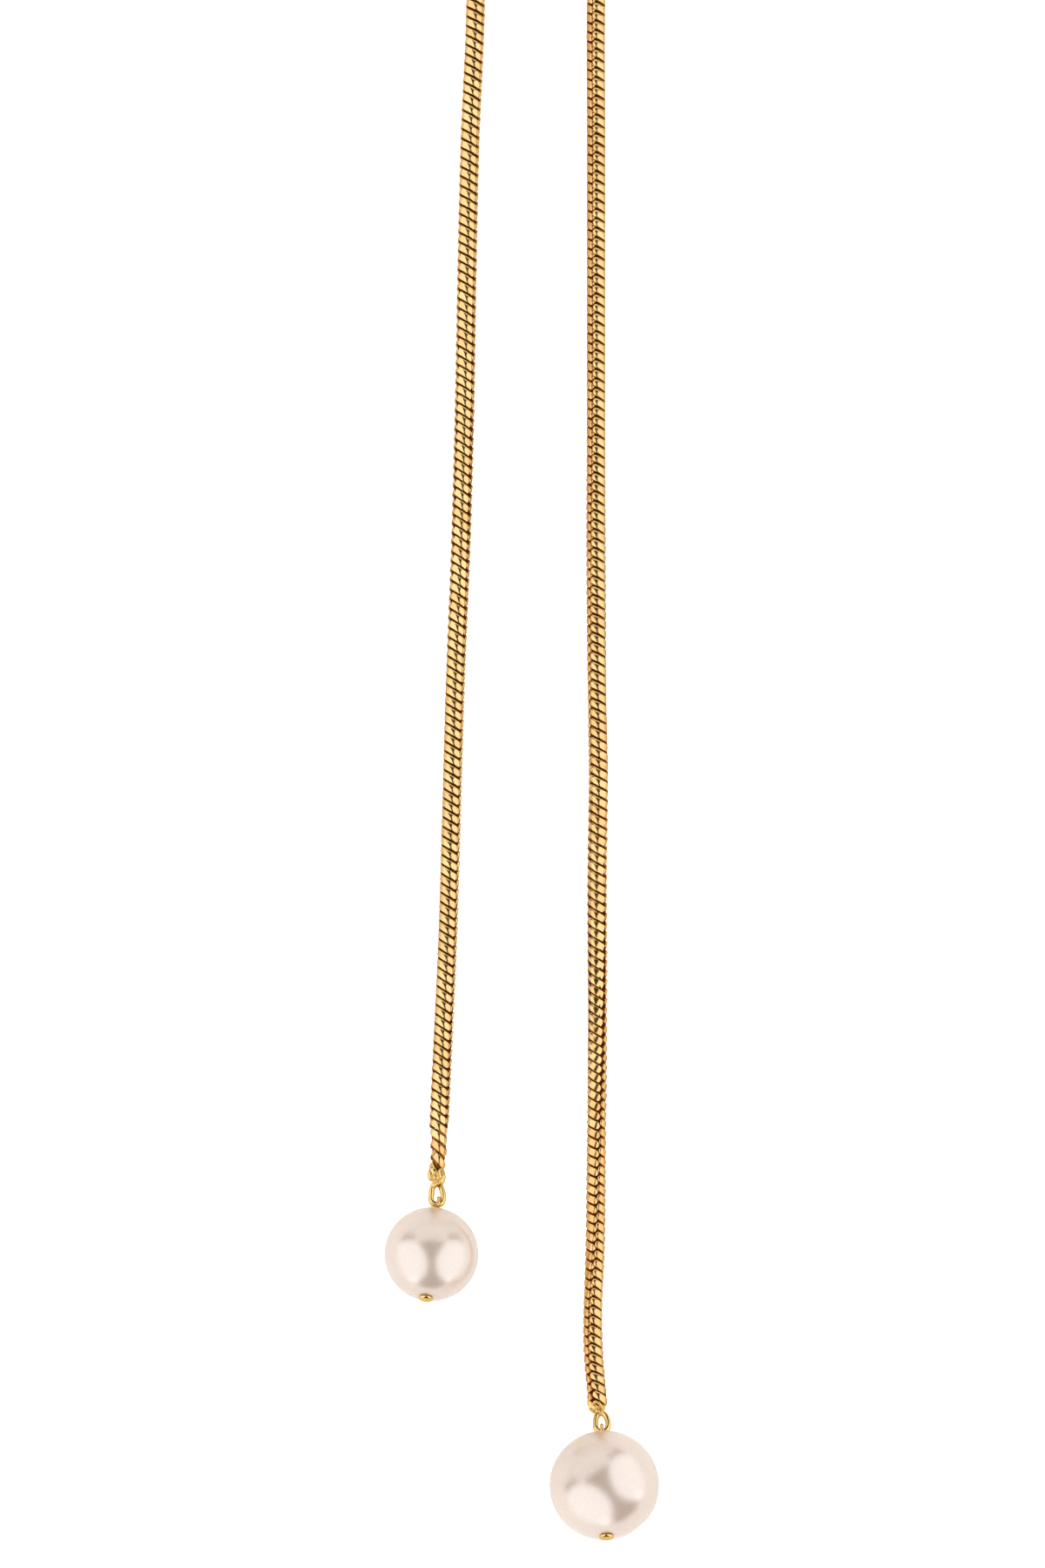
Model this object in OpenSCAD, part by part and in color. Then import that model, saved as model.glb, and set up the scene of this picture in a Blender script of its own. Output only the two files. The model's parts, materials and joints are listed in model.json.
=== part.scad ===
// Open-ended pearl necklace: one round snake chain with a drilled pearl on each free end.
// It lies on a flat surface: +Z is up, +Y runs from the pearls to the neck loop,
// and the origin is under the middle of the whole, on the surface. Millimetres.

/* [Chain] */
// Outer diameter of the snake chain
chain_d = 2.4; // [1.6:0.1:3.2]

/* [Pearls] */
// Diameter of the pearl on the short tail
small_pearl_d = 12; // [8:0.5:15]
// Diameter of the pearl on the long tail
large_pearl_d = 14; // [10:0.5:16]
// Diameter of the hole drilled through each pearl
pearl_bore_d = 0.9; // [0.8:0.1:1.4]
// Depth of the flat that the large pearl has around its upper hole
large_crown_flat = 0.5; // [0:0.1:0.8]
// How far the small pearl's hole dips below the level at its upper end, in degrees
small_tilt = 23.5; // [16:0.5:32]
// How far the large pearl's hole dips below the level at its upper end, in degrees
large_tilt = 24.5; // [20:0.5:32]
// Turn of the small pearl's hole away from +Y, in degrees
small_lean = 7.4; // [-15:0.1:15]
// Turn of the large pearl's hole away from +Y, in degrees
large_lean = -2.3; // [-15:0.1:15]

/* [Head pins] */
// Diameter of the head pin's wire
pin_d = 0.5; // [0.4:0.05:0.7]
// Clear opening of the eye bent at the pin's upper end
eye_bore_d = 1.0; // [0.9:0.05:1.3]
// Diameter of the pin's flattened head
head_d = 1.85; // [1.5:0.05:2.4]
// Thickness of the pin's flattened head
head_t = 0.35; // [0.2:0.05:0.6]

/* [Jump rings] */
// Diameter of the jump ring's wire
ring_d = 0.7; // [0.5:0.05:0.8]
// Outer width of the oval jump ring
ring_w = 2.3; // [2.2:0.1:3.0]
// Outer length of the oval jump ring
ring_l = 3.86; // [3.7:0.02:4.6]

/* [End caps] */
// From the end of the short tail to the middle of its jump ring's wire
small_cap_reach = 3.3; // [2.0:0.05:4.0]
// From the end of the long tail to the middle of its jump ring's wire
large_cap_reach = 1.95; // [1.8:0.05:4.0]
// Diameter of the soldered cap where it meets the chain
cap_d = 2.2; // [1.6:0.1:2.4]
// Outer diameter of the cap's lug
lug_d = 1.8; // [1.6:0.1:2.0]
// Clear hole through the cap's lug
lug_bore_d = 1.1; // [1.0:0.05:1.2]
// Thickness of the cap's lug
lug_t = 0.5; // [0.4:0.05:0.6]

/* [Hidden] */

gold = "goldenrod";
ivory = "linen";

$fn = 96;

// Height of the chain's middle where it lies on the surface
lie = chain_d / 2;
// Height of the chain's middle where the large pearl's ring holds its end up
held = lie + 0.4;

// The chain's route, seen from above: x, y and the height of its middle.
// The short tail, from its end up to where it turns into the loop
short_tail = [
    [-12.5, -169.8, lie], [-12.3, -164, lie], [-11.9, -155, lie],
    [-11.3, -142, lie], [-10.8, -126, lie], [-10.3, -109, lie],
    [-9.6, -92, lie], [-9.1, -74, lie], [-8.8, -57, lie], [-8.4, -40, lie],
    [-7.7, -22, lie]
];
// One half of the neck loop, from the long tail to the middle of the loop's top
half_loop = [
    [8.4, -10, lie], [12.4, 1, lie], [21, 14, lie], [41, 32, lie], [63, 52, lie],
    [83, 76, lie], [94.6, 107, lie], [95.2, 140, lie], [83.6, 171, lie],
    [61, 197, lie], [31, 213, lie]
];
// The loop's top
loop_top = [0, 217, lie];
// The long tail, from the loop down to its end
long_tail = [
    [7.7, -22, lie], [7.7, -40, lie], [7.7, -58, lie], [7.7, -76, lie],
    [7.7, -94, lie], [7.8, -108, lie], [8, -121, lie], [7.8, -134, lie],
    [7.8, -152, lie], [7.7, -170, lie], [7.6, -180, lie], [7.3, -189, lie],
    [7.4, -195, lie + 0.1], [7.9, -200.4, held]
];

function mirrored(points) = [for (p = points) [-p.x, p.y, p.z]];
function reversed(points) = [for (i = [len(points) - 1 : -1 : 0]) points[i]];

route = concat(
    short_tail, mirrored(half_loop), [loop_top], reversed(half_loop), long_tail
);

// The tube along the route: sides of its section, and the most that two rings lie apart
tube_sides = 8;
ring_gap = 14;

// A smooth curve through the route's points: the point a share t along span i
function at(points, i) = points[min(max(i, 0), len(points) - 1)];
function on_curve(points, i, t) =
    let (a = at(points, i - 1), b = at(points, i), c = at(points, i + 1), d = at(points, i + 2))
    b + t / 2 * (c - a + t * (2 * a - 5 * b + 4 * c - d + t * (3 * b - a - 3 * c + d)));

function steps(points, i) = max(1, round(norm(points[i + 1] - points[i]) / ring_gap));
function smoothed(points) = [
    for (i = [0 : len(points) - 2])
        for (k = [0 : steps(points, i) - 1])
            on_curve(points, i, k / steps(points, i)),
    points[len(points) - 1]
];

function unit(v) = v / norm(v);

// One ring of the tube: a polygon with a flat side down, square to the curve
function ring_points(centre, along) =
    let (
        side = unit(cross(along, [0, 0, 1])),
        up = cross(side, along),
        r = chain_d / 2 / cos(180 / tube_sides)
    )
    [for (k = [0 : tube_sides - 1])
        let (a = 360 / tube_sides * (k + 0.5))
        centre + r * (cos(a) * side + sin(a) * up)];

module swept_tube(points) {
    line = smoothed(points);
    last = len(line) - 1;
    n = tube_sides;
    rings = [for (i = [0 : last]) ring_points(line[i], unit(at(line, i + 1) - at(line, i - 1)))];
    sides = [
        for (i = [0 : last - 1])
            for (k = [0 : n - 1])
                let (a = i * n + k, b = i * n + (k + 1) % n)
                each [[a, a + n, b + n], [a, b + n, b]]
    ];
    first_end = [for (k = [0 : n - 1]) k];
    last_end = [for (k = [n - 1 : -1 : 0]) last * n + k];
    polyhedron([for (r = rings) each r], concat(sides, [first_end, last_end]));
}

// The two drops, small then large: each value below has one entry for each
pearl_d = [small_pearl_d, large_pearl_d];
crown_flat = [0, large_crown_flat];
tilt = [small_tilt, large_tilt];
lean = [small_lean, large_lean];
tail_end = [route[0], route[len(route) - 1]];
// Turn of each end cap and of each jump ring away from -Y, towards +X, in degrees
cap_turn = [-2, 9];
ring_turn = [3.5, 6.5];
cap_reach = [small_cap_reach, large_cap_reach];

// From the middle of the eye to the surface it stands on, and from the middle of
// one end of the jump ring's wire to the middle of the other
eye_r = eye_bore_d / 2 + pin_d;
ring_reach = ring_l - ring_d;

// Direction of a turn away from -Y, on the level
function heading(turn) = [sin(turn), -cos(turn), 0];
// Direction of the hole, from the pearl's middle to its upper end
function hole_axis(i) =
    [sin(lean[i]) * cos(tilt[i]), cos(lean[i]) * cos(tilt[i]), -sin(tilt[i])];
// From the pearl's middle to the middle of the pin's eye
function eye_reach(i) = pearl_d[i] / 2 - crown_flat[i] + eye_r;

function ring_top(i) = tail_end[i] + cap_reach[i] * heading(cap_turn[i]);
// The jump ring climbs from the cap's lug to the eye, which sets its slope
function ring_slope(i) =
    asin((pearl_d[i] / 2 - eye_reach(i) * sin(tilt[i]) - ring_top(i).z) / ring_reach);
function ring_axis(i) =
    cos(ring_slope(i)) * heading(ring_turn[i]) + [0, 0, sin(ring_slope(i))];
function eye_centre(i) = ring_top(i) + ring_reach * ring_axis(i);
function pearl_centre(i) = eye_centre(i) - eye_reach(i) * hole_axis(i);

// Puts what is drawn along +Z at a point, along a direction, with its Y axis level
module aimed(point, direction) {
    translate(point)
        rotate([0, acos(direction.z), atan2(direction.y, direction.x)])
            children();
}

// Small overrun that lets a cut pass right through
cut_over = 0.5;
// Gap left between the pearl and the pin's head, and between the chain and its cap
seat_gap = 0.05;
cap_gap = 0.15;

// A soldered cap: a bead that narrows from the chain to a lug with a cross hole
module end_cap(i) {
    bead_l = cap_reach[i] - lug_bore_d / 2;
    neck_r = 0.6;
    shoulder = 0.15;
    aimed(tail_end[i], heading(cap_turn[i]))
        difference() {
            union() {
                rotate_extrude()
                    polygon([
                        [0, cap_gap], [cap_d / 2 - shoulder, cap_gap],
                        [cap_d / 2, cap_gap + shoulder], [cap_d / 2, bead_l * 0.4],
                        [neck_r, bead_l * 0.8], [0, bead_l * 0.8]
                    ]);
                translate([0, 0, cap_reach[i]])
                    rotate([90, 0, 0])
                        cylinder(d = lug_d, h = lug_t, center = true);
                translate([-lug_d / 3, -lug_t / 2, bead_l * 0.6])
                    cube([lug_d / 1.5, lug_t, cap_reach[i] - bead_l * 0.6]);
            }
            translate([0, 0, cap_reach[i]])
                rotate([90, 0, 0])
                    cylinder(d = lug_bore_d, h = cap_d + cut_over, center = true);
        }
}

// An oval ring of round wire: two half rings joined by straight wire
module jump_ring(i) {
    bend_r = (ring_w - ring_d) / 2;
    straight = ring_reach - 2 * bend_r;
    aimed(ring_top(i) + ring_reach / 2 * ring_axis(i), ring_axis(i))
        rotate([0, 90, 0])
            union() {
                for (end = [0, 180])
                    rotate([0, 0, end])
                        translate([straight / 2, 0, 0])
                            rotate([0, 0, -90])
                                rotate_extrude(angle = 180)
                                    translate([bend_r, 0])
                                        circle(d = ring_d);
                for (side = [-1, 1])
                    translate([0, side * bend_r, 0])
                        rotate([0, 90, 0])
                            cylinder(d = ring_d, h = straight, center = true);
            }
}

// A head pin: the eye, the wire through the pearl and the flattened head below it
module head_pin(i) {
    wire_bottom = -pearl_d[i] / 2 - seat_gap - head_t / 2;
    wire_top = eye_reach(i) - eye_r + pin_d / 2;
    aimed(pearl_centre(i), hole_axis(i)) {
        translate([0, 0, eye_reach(i)])
            rotate([90, 0, 0])
                rotate_extrude()
                    translate([(eye_bore_d + pin_d) / 2, 0])
                        circle(d = pin_d);
        translate([0, 0, wire_bottom])
            cylinder(d = pin_d, h = wire_top - wire_bottom);
        translate([0, 0, -pearl_d[i] / 2 - seat_gap - head_t])
            cylinder(d = head_d, h = head_t);
    }
}

// A drilled pearl, flattened around its upper hole where it has a flat
module pearl(i) {
    d = pearl_d[i];
    aimed(pearl_centre(i), hole_axis(i))
        difference() {
            sphere(d = d);
            cylinder(d = pearl_bore_d, h = d + cut_over, center = true);
            if (crown_flat[i] > 0)
                translate([-d / 2, -d / 2, d / 2 - crown_flat[i]])
                    cube([d, d, crown_flat[i] + cut_over]);
        }
}

module snake_chain() { color(gold) swept_tube(route); }
module small_end_cap() { color(gold) end_cap(0); }
module small_jump_ring() { color(gold) jump_ring(0); }
module small_head_pin() { color(gold) head_pin(0); }
module small_pearl() { color(ivory) pearl(0); }
module large_end_cap() { color(gold) end_cap(1); }
module large_jump_ring() { color(gold) jump_ring(1); }
module large_head_pin() { color(gold) head_pin(1); }
module large_pearl() { color(ivory) pearl(1); }

snake_chain();
small_end_cap();
small_jump_ring();
small_head_pin();
small_pearl();
large_end_cap();
large_jump_ring();
large_head_pin();
large_pearl();
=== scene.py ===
"""The looks of the pearl necklace: snake chain links, soldered ends, jump rings, head pins and pearls.

The pieces lie on a white floor as they do in the photograph, seen from straight above.
Sizes are written in millimetres and turned into metres by MM.
"""

import json
import math

import bmesh
import bpy
import numpy as np
from mathutils import Matrix, Vector

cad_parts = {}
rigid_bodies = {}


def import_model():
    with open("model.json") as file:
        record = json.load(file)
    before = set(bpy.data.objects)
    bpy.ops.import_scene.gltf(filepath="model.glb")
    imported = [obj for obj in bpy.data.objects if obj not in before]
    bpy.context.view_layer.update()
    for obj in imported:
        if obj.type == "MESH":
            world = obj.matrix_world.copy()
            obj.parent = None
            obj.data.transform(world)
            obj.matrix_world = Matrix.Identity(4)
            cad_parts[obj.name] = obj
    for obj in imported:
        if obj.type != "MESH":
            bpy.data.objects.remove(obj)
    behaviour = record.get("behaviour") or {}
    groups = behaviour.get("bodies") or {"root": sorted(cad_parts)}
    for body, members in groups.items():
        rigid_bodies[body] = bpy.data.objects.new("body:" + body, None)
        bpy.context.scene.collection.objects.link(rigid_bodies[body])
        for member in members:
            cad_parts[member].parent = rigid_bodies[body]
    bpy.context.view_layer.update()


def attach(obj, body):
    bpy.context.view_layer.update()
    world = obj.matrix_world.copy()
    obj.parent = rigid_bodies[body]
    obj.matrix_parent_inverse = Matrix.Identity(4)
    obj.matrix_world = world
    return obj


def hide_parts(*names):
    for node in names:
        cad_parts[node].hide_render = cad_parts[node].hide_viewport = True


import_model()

MM = 0.001
UP = Vector((0, 0, 1))


# Node trees

class Wire:
    """An output socket that reads like a number, so that sums of sockets add Math nodes."""

    def __init__(self, graph, socket):
        self.graph = graph
        self.socket = socket

    def maths(self, operation, first, second=0.0):
        return self.graph.node("ShaderNodeMath", {"operation": operation}, {0: first, 1: second})

    def __add__(self, other):
        return self.maths("ADD", self, other)

    def __radd__(self, other):
        return self.maths("ADD", other, self)

    def __sub__(self, other):
        return self.maths("SUBTRACT", self, other)

    def __rsub__(self, other):
        return self.maths("SUBTRACT", other, self)

    def __mul__(self, other):
        return self.maths("MULTIPLY", self, other)

    def __rmul__(self, other):
        return self.maths("MULTIPLY", other, self)

    def __truediv__(self, other):
        return self.maths("DIVIDE", self, other)

    def __pow__(self, other):
        return self.maths("POWER", self, other)

    def __mod__(self, other):
        return self.maths("MODULO", self, other)

    def clamped(self, low=0.0, high=1.0):
        return self.maths("MINIMUM", self.maths("MAXIMUM", self, low), high)


class Graph:
    """A node tree being built, of a material or of Geometry Nodes."""

    def __init__(self, tree):
        self.tree = tree

    def node(self, kind, settings=None, sockets=None, out=0):
        """Adds a node and returns one of its outputs.

        Sockets and outputs go by name, or by number where names repeat.
        """
        made = self.tree.nodes.new(kind)
        for name, value in (settings or {}).items():
            setattr(made, name, value)
        for name, value in (sockets or {}).items():
            for one in value if isinstance(value, list) else [value]:
                if isinstance(one, Wire):
                    self.tree.links.new(one.socket, made.inputs[name])
                else:
                    made.inputs[name].default_value = one
        return Wire(self, made.outputs[out]) if made.outputs else None

    def mix(self, share, first, second):
        """The first colour, turning into the second as share goes from 0 to 1."""
        return self.node(
            "ShaderNodeMix", {"data_type": "RGBA"}, {"Factor": share, 6: first, 7: second}, out=2
        )

    def noise(self, where, per_mm, detail=2.0):
        """Soft noise round 0.5, with so many lumps to a millimetre."""
        sockets = {"Vector": where, "Scale": per_mm / MM, "Detail": detail}
        return self.node("ShaderNodeTexNoise", None, sockets)

    def attribute(self, name):
        """A number stored on the mesh."""
        return self.node("ShaderNodeAttribute", {"attribute_name": name}, None, out=2)

    def place(self, stretch=(1, 1, 1)):
        """The point on the object, stretched before a pattern reads it."""
        spot = self.node("ShaderNodeTexCoord", out="Object")
        return self.node("ShaderNodeMapping", None, {"Vector": spot, "Scale": stretch})

    def bump(self, height, strength, depth):
        """Shading relief: height goes from 0 to 1 over a depth in millimetres."""
        sockets = {"Height": height, "Strength": strength, "Distance": depth * MM}
        return self.node("ShaderNodeBump", None, sockets)


def new_material(name):
    """An empty material and the graph of its nodes."""
    material = bpy.data.materials.new(name)
    material.use_nodes = True
    material.node_tree.nodes.clear()
    return material, Graph(material.node_tree)


def surface(graph, sockets):
    """Ends a material in one shader."""
    shader = graph.node("ShaderNodeBsdfPrincipled", None, sockets)
    graph.node("ShaderNodeOutputMaterial", None, {"Surface": shader})


# Finishes

# The links' faces run from pale through gold, go to rose where painted shade darkens the left column,
# and painted shade darkens them red-brown into the grooves
GOLD_PALE = (0.78, 0.58, 0.235, 1)
GOLD = (0.67, 0.37, 0.105, 1)
GOLD_LEFT_SHADE = (0.53, 0.29, 0.11, 1)
# Painted shade: deep gold towards the grooves, and red-brown in them, on the dark core and at the bars'
# ends
GOLD_GROOVE_SHADE = (0.46, 0.17, 0.02, 1)
GROOVE_SHADE_BROWN = (0.06, 0.010, 0.001, 1)
# The wires and the solder go between these two in soft clouds
WIRE_PALE = (0.78, 0.58, 0.22, 1)
WIRE_GOLD = (0.68, 0.42, 0.11, 1)
# Tints of the plating where it is seen at a low angle
EDGE_PINK = (0.95, 0.62, 0.45, 1)
EDGE_GOLD = (0.95, 0.70, 0.38, 1)
# A thin clear coat over the plating
LACQUER = 0.3
LACQUER_IOR = 2.0
LACQUER_ROUGH = 0.1


def chain_gold():
    """Plated links: bright faces, painted shade that darkens them red-brown into the grooves and towards
    rose on the left column, fine scratches across the tails.
    """
    material, graph = new_material("chain_gold")
    groove = graph.attribute("groove")
    tone = graph.attribute("tone")
    spot = graph.place()
    cloud = graph.noise(spot, 0.5, detail=3.0)
    specks = graph.noise(spot, 7.0, detail=2.0)
    warm = (tone * 0.9 + cloud * 0.6 - 0.3).clamped()
    faces = graph.mix(warm, GOLD_PALE, GOLD)
    # Painted shade: the left column of links is darkened towards rose
    faces = graph.mix((tone - 1.0).clamped(), faces, GOLD_LEFT_SHADE)
    # Painted shade: the faces darken to deep gold and red-brown towards the grooves, the core and the
    # bars' ends
    faces = graph.mix((groove * 1.4).clamped() ** 1.3, faces, GOLD_GROOVE_SHADE)
    colour = graph.mix((groove * 1.5 - 0.5).clamped(), faces, GROOVE_SHADE_BROWN)
    rough = 0.10 + specks * 0.10 + tone * 0.04 + groove * 0.15
    scratches = graph.noise(graph.place(stretch=(0.35, 4.0, 1.0)), 4.0, detail=3.0)
    relief = graph.bump(scratches * 0.5 + specks * 0.5, 0.45, 0.02)
    surface(graph, {
        "Base Color": colour, "Metallic": 1.0, "Roughness": rough.clamped(0.05, 0.8),
        "Coat Weight": (1.0 - groove * 2.0).clamped() * LACQUER, "Coat Roughness": LACQUER_ROUGH,
        "Coat IOR": LACQUER_IOR, "Specular Tint": EDGE_PINK, "Normal": relief,
    })
    return material


def wire_gold():
    """Plated wire, smoother than the links, with tarnish in soft clouds and fine drawing marks."""
    material, graph = new_material("wire_gold")
    spot = graph.place()
    cloud = graph.noise(spot, 0.8, detail=3.0)
    marks = graph.noise(spot, 9.0, detail=3.0)
    colour = graph.mix((cloud * 1.6 - 0.4).clamped(), WIRE_PALE, WIRE_GOLD)
    surface(graph, {
        "Base Color": colour, "Metallic": 1.0, "Roughness": 0.06 + marks * 0.12,
        "Coat Weight": LACQUER, "Coat Roughness": LACQUER_ROUGH, "Coat IOR": LACQUER_IOR,
        "Specular Tint": EDGE_GOLD, "Normal": graph.bump(marks, 0.15, 0.02),
    })
    return material


def solder_gold():
    """Soldered ends under the plating: satin, lumpy and without the clear coat."""
    material, graph = new_material("solder_gold")
    spot = graph.place()
    lumps = graph.noise(spot, 1.7)
    pits = graph.noise(spot, 9.0)
    colour = graph.mix((lumps * 1.8 - 0.5).clamped(), WIRE_PALE, WIRE_GOLD)
    surface(graph, {
        "Base Color": colour, "Metallic": 1.0, "Roughness": 0.18 + pits * 0.16,
        "Specular Tint": EDGE_GOLD, "Normal": graph.bump(lumps * 0.93 + pits * 0.07, 0.6, 0.14),
    })
    return material


PEARL = (0.74, 0.615, 0.50, 1)
PEARL_ROSE = (0.74, 0.59, 0.49, 1)
PEARL_PAINTED_GLINT = (0.98, 0.88, 0.78, 1)
PEARL_WORN = (0.74, 0.50, 0.26, 1)
PEARL_EDGE = (1.0, 0.9, 0.85, 1)
# Pale grains to a millimetre, painted glints that stand in for sparkle
GLINT_GRAINS_PER_MM = 9.0
# The strong soft shine over the warm base
SHINE_IOR = 3.2
SHINE_ROUGH = 0.27


def pearl_coat():
    """Imitation pearl: a shiny coat with fine pale grain painted in as glints, pinkish in clouds, worn
    warm by the holes.
    """
    material, graph = new_material("pearl_coat")
    spot = graph.place()
    cloud = graph.noise(spot, 0.12)
    glint_grain = graph.noise(spot, GLINT_GRAINS_PER_MM, detail=1.0)
    lumps = graph.noise(spot, 6.0)
    worn = graph.attribute("worn")
    colour = graph.mix((cloud * 1.6 - 0.3).clamped(), PEARL, PEARL_ROSE)
    # Painted glints: pale flecks in the colour stand in for the nacre's sparkle
    colour = graph.mix((glint_grain * 5.0 - 2.75).clamped() * 0.5, colour, PEARL_PAINTED_GLINT)
    colour = graph.mix(worn, colour, PEARL_WORN)
    surface(graph, {
        "Base Color": colour, "Metallic": 0.1, "Roughness": 0.20 + lumps * 0.08,
        "Coat Weight": 1.0, "Coat Roughness": SHINE_ROUGH, "Coat IOR": SHINE_IOR,
        "Specular Tint": PEARL_EDGE, "Normal": graph.bump(lumps, 0.35, 0.05),
    })
    return material


FLOOR_PALE = (0.90, 0.90, 0.89, 1)
FLOOR_PALEST = (0.92, 0.92, 0.91, 1)
# The floor's own light: white where the camera looks at it, and faint and warm on the necklace
FLOOR_SEEN = (1, 1, 1, 1)
FLOOR_GLOW = (0.17, 0.135, 0.09, 1)


def floor_white():
    """A plain white table top."""
    material, graph = new_material("floor_white")
    cloud = graph.noise(graph.place(), 0.004)
    seen = graph.node("ShaderNodeLightPath", out="Is Camera Ray")
    surface(graph, {
        "Base Color": graph.mix(cloud, FLOOR_PALE, FLOOR_PALEST),
        "Roughness": 0.6, "Specular IOR Level": 0.2,
        "Emission Color": graph.mix(seen, FLOOR_GLOW, FLOOR_SEEN), "Emission Strength": 1.0,
    })
    return material


# Meshes

def add_piece(name, mesh, material=None, smooth=True):
    """A new object at the origin with its place in its mesh."""
    piece = bpy.data.objects.new(name, mesh)
    bpy.context.scene.collection.objects.link(piece)
    if material is not None:
        mesh.materials.append(material)
    if smooth:
        mesh.shade_smooth()
    return piece


def mesh_of(name, points, faces, numbers=None):
    """A closed mesh from points in millimetres, with its faces turned outwards.

    Numbers are stored on the points, each row of them under its own label.
    """
    mesh = bpy.data.meshes.new(name)
    mesh.from_pydata([tuple(MM * c for c in p) for p in points], [], faces)
    for label, values in (numbers or {}).items():
        mesh.attributes.new(label, "FLOAT", "POINT").data.foreach_set("value", values)
    shaped = bmesh.new()
    shaped.from_mesh(mesh)
    bmesh.ops.recalc_face_normals(shaped, faces=shaped.faces)
    shaped.to_mesh(mesh)
    shaped.free()
    return mesh


def level_ring(radius, z, sides):
    """Points of a level circle round the Z axis."""
    turns = [math.tau * k / sides for k in range(sides)]
    return [(radius * math.cos(a), radius * math.sin(a), z) for a in turns]


def placed(points, frame_at):
    """The points moved into a frame."""
    return [frame_at @ Vector(p) for p in points]


def stack_rings(rings, closed=False):
    """Points and faces of rings that each have the same number of points, capped unless closed."""
    around = len(rings[0])
    points = [p for ring in rings for p in ring]
    faces = []
    spans = len(rings) if closed else len(rings) - 1
    for i in range(spans):
        here = i * around
        there = (i + 1) % len(rings) * around
        for k in range(around):
            n = (k + 1) % around
            faces.append((here + k, here + n, there + n, there + k))
    if not closed:
        faces.append(tuple(range(around)))
        faces.append(tuple(range(len(points) - around, len(points))))
    return points, faces


def tube_rings(path, radii, sides, closed=False):
    """Rings of a round wire along a path. The frame is carried along, so that the wire doesn't twist."""
    path = [Vector(p) for p in path]
    last = len(path) - 1
    side = None
    rings = []
    for i, point in enumerate(path):
        if closed:
            along = path[(i + 1) % len(path)] - path[i - 1]
        else:
            along = path[min(i + 1, last)] - path[max(i - 1, 0)]
        along.normalize()
        if side is None:
            side = along.orthogonal().normalized()
        side = (side - along * side.dot(along)).normalized()
        across = along.cross(side)
        radius = radii[i] if isinstance(radii, list) else radii
        turns = [math.tau * k / sides for k in range(sides)]
        rings.append([point + radius * (math.cos(a) * side + math.sin(a) * across) for a in turns])
    return rings


# The chain's route: the same points as in part.scad, in millimetres: x, y and the height of the middle

CHAIN_R = 1.2
LIE = CHAIN_R
HELD = LIE + 0.4

SHORT_TAIL = [
    (-12.5, -169.8, LIE), (-12.3, -164, LIE), (-11.9, -155, LIE), (-11.3, -142, LIE),
    (-10.8, -126, LIE), (-10.3, -109, LIE), (-9.6, -92, LIE), (-9.1, -74, LIE),
    (-8.8, -57, LIE), (-8.4, -40, LIE), (-7.7, -22, LIE),
]
HALF_LOOP = [
    (8.4, -10, LIE), (12.4, 1, LIE), (21, 14, LIE), (41, 32, LIE), (63, 52, LIE),
    (83, 76, LIE), (94.6, 107, LIE), (95.2, 140, LIE), (83.6, 171, LIE), (61, 197, LIE),
    (31, 213, LIE),
]
LOOP_TOP = (0, 217, LIE)
LONG_TAIL = [
    (7.7, -22, LIE), (7.7, -40, LIE), (7.7, -58, LIE), (7.7, -76, LIE), (7.7, -94, LIE),
    (7.8, -108, LIE), (8, -121, LIE), (7.8, -134, LIE), (7.8, -152, LIE), (7.7, -170, LIE),
    (7.6, -180, LIE), (7.3, -189, LIE), (7.4, -195, LIE + 0.1), (7.9, -200.4, HELD),
]
ROUTE = (
    SHORT_TAIL + [(-x, y, z) for x, y, z in HALF_LOOP] + [LOOP_TOP] + HALF_LOOP[::-1] + LONG_TAIL
)
ROUTE_STEP = 0.3


def on_curve(points, i, t):
    """The point a share t along span i of a smooth curve through the points."""
    last = len(points) - 1
    a, b, c, d = (points[min(max(j, 0), last)] for j in (i - 1, i, i + 1, i + 2))
    return b + t / 2 * (c - a + t * (2 * a - 5 * b + 4 * c - d + t * (3 * b - a - 3 * c + d)))


def smoothed(points, step):
    """Points about a step apart on a smooth curve through the points."""
    points = [np.array(p, float) for p in points]
    line = []
    for i in range(len(points) - 1):
        parts = max(1, round(np.linalg.norm(points[i + 1] - points[i]) / step))
        line += [on_curve(points, i, k / parts) for k in range(parts)]
    return np.array(line + [points[-1]])


route_line = smoothed(ROUTE, ROUTE_STEP)
route_at = np.concatenate([[0], np.cumsum(np.linalg.norm(np.diff(route_line, axis=0), axis=1))])
ROUTE_LENGTH = float(route_at[-1])


def route_point(at):
    """The point so many millimetres from the short tail's end, or straight on past the long tail's."""
    point = Vector([float(np.interp(at, route_at, route_line[:, axis])) for axis in range(3)])
    if at > ROUTE_LENGTH:
        end = Vector(route_line[-1] - route_line[-2])
        point += (at - ROUTE_LENGTH) * end.normalized()
    return point


# The links: slanted bars in two columns, each bar round half the chain, half a pitch after the last

# From one bar to the next in the same column, in mm
PITCH = 1.2
# Stations along a bar: degrees round the chain, middle and half height in pitches, radius in mm, how
# far the section has gone from round to flat, and how much painted shade darkens that end
BAR_STATIONS = [
    (-2, 0.47, 0.09, 1.06, 0, 1), (0.5, 0.47, 0.23, 1.20, 0, 0.2), (5, 0.475, 0.35, 1.24, 0, 0),
    (12, 0.49, 0.43, 1.258, 0.1, 0), (25, 0.535, 0.466, 1.262, 0.2, 0), (55, 0.72, 0.46, 1.257, 0.6, 0),
    (90, 0.97, 0.458, 1.252, 1, 0), (130, 1.20, 0.462, 1.25, 1, 0), (165, 1.37, 0.475, 1.24, 1, 0),
    (177, 1.42, 0.44, 1.23, 0.6, 0), (185, 1.45, 0.25, 1.21, 0.4, 0), (195, 1.475, 0.07, 1.14, 0.3, 0.5),
]
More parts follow.
